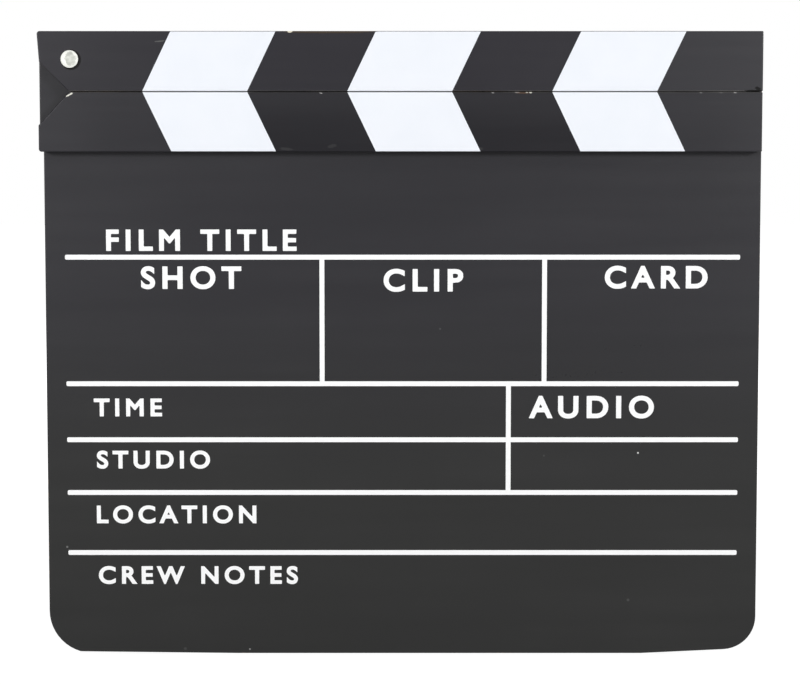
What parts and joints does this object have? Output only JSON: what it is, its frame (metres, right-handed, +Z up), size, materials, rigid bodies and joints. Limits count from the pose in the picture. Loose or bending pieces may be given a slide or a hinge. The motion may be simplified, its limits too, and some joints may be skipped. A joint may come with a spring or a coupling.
{
  "type": "clapperboard",
  "caption": "Film slate board with ruled writing fields, a fixed striped stick and a hinged striped stick that swings on a rivet and claps shut.",
  "frame": {"origin": "middle of the board's bottom edge, halfway through its thickness", "axes": "+Z up the board, +X to the right as seen from the front, -Y out of the written face"},
  "size_m": [0.3019, 0.0171, 0.2626],
  "materials": {
    "board_paint": "fibreboard with satin black paint",
    "stick_paint": "wood bar with satin black paint",
    "white_film": "smooth white stripe film",
    "white_print": "white screen-printed ink",
    "rivet_metal": "bright satin",
    "washer_steel": "zinc-plated",
    "washer_nylon": "natural nylon",
    "screw_steel": "zinc-plated"
  },
  "bodies": {
    "slate": {"slate_board": "board_paint", "lower_clapstick": "stick_paint", "field_grid": "white_print", "foot_rule": "white_print", "pivot_rivet": "rivet_metal", "pivot_washer": "washer_nylon", "back_washer": "washer_steel", "stick_screws": "screw_steel", "lower_stripe_1": "white_film", "lower_stripe_2": "white_film", "lower_stripe_3": "white_film"},
    "clapper": {"upper_clapstick": "stick_paint", "upper_stripe_1": "white_film", "upper_stripe_2": "white_film", "upper_stripe_3": "white_film"}
  },
  "joints": [
    {"name": "clapper_hinge", "type": "hinge", "parent": "slate", "child": "clapper", "pos_m": [-0.1376, 0, 0.2511], "axis": [0, -1, 0], "range_deg": [0, 100]}
  ]
}
